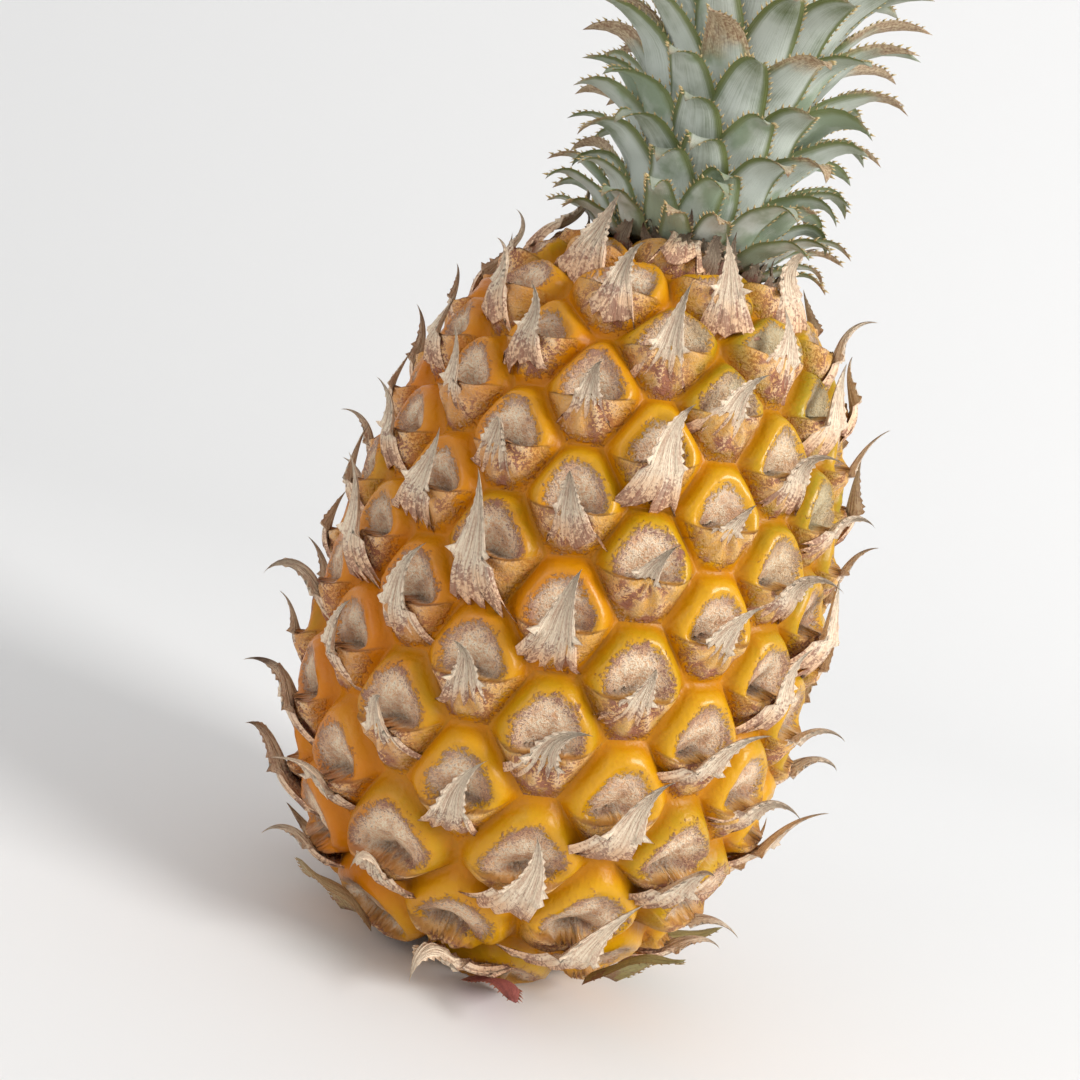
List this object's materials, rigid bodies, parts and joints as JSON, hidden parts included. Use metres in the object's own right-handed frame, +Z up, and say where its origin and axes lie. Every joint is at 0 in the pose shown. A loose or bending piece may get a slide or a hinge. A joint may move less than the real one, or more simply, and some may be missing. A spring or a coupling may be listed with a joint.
{
  "type": "pineapple",
  "caption": "Whole ripe pineapple with spiralling orange-yellow eyes, dry pointed bracts and a crown of grey-green spiny leaves, standing on its flat cut base.",
  "frame": {"origin": "centre of the flat cut base, which the pineapple stands on", "axes": "+Z up through the crown along the core of the fruit; -Y is the side that faces the viewer; +X to the viewer's right"},
  "size_m": [0.1343, 0.1342, 0.2972],
  "materials": {
    "rind": "waxy eyes with dry tan corky patches",
    "leaf": "satin, with a silvery bloom",
    "dry_bract": "dry and papery",
    "stem": "fibrous, cut across"
  },
  "bodies": {
    "root": {"fruit": "rind", "cut_stem": "stem", "crown_stem": "stem", "basal_bract_01": "dry_bract", "basal_bract_02": "dry_bract", "basal_bract_03": "dry_bract", "basal_bract_04": "dry_bract", "basal_bract_05": "dry_bract", "basal_bract_06": "dry_bract", "crown_leaf_01": "leaf", "crown_leaf_02": "leaf", "crown_leaf_03": "leaf", "crown_leaf_04": "leaf", "crown_leaf_05": "leaf", "crown_leaf_06": "leaf", "crown_leaf_07": "leaf", "crown_leaf_08": "leaf", "crown_leaf_09": "leaf", "crown_leaf_10": "leaf", "crown_leaf_11": "leaf", "crown_leaf_12": "leaf", "crown_leaf_13": "leaf", "crown_leaf_14": "leaf", "crown_leaf_15": "leaf", "crown_leaf_16": "leaf", "crown_leaf_17": "leaf", "crown_leaf_18": "leaf", "crown_leaf_19": "leaf", "crown_leaf_20": "leaf", "crown_leaf_21": "leaf", "crown_leaf_22": "leaf", "crown_leaf_23": "leaf", "crown_leaf_24": "leaf", "crown_leaf_25": "leaf", "crown_leaf_26": "leaf", "crown_leaf_27": "leaf", "crown_leaf_28": "leaf", "crown_leaf_29": "leaf", "crown_leaf_30": "leaf", "crown_leaf_31": "leaf", "crown_leaf_32": "leaf", "crown_leaf_33": "leaf", "crown_leaf_34": "leaf", "crown_leaf_35": "leaf", "crown_leaf_36": "leaf", "crown_leaf_37": "leaf", "crown_leaf_38": "leaf", "crown_leaf_39": "leaf", "crown_leaf_40": "leaf", "crown_leaf_41": "leaf", "crown_leaf_42": "leaf", "crown_leaf_43": "leaf", "crown_leaf_44": "leaf", "crown_leaf_45": "leaf", "crown_leaf_46": "leaf", "crown_leaf_47": "leaf", "crown_leaf_48": "leaf", "crown_leaf_49": "leaf", "crown_leaf_50": "leaf", "crown_leaf_51": "leaf"}
  },
  "joints": []
}
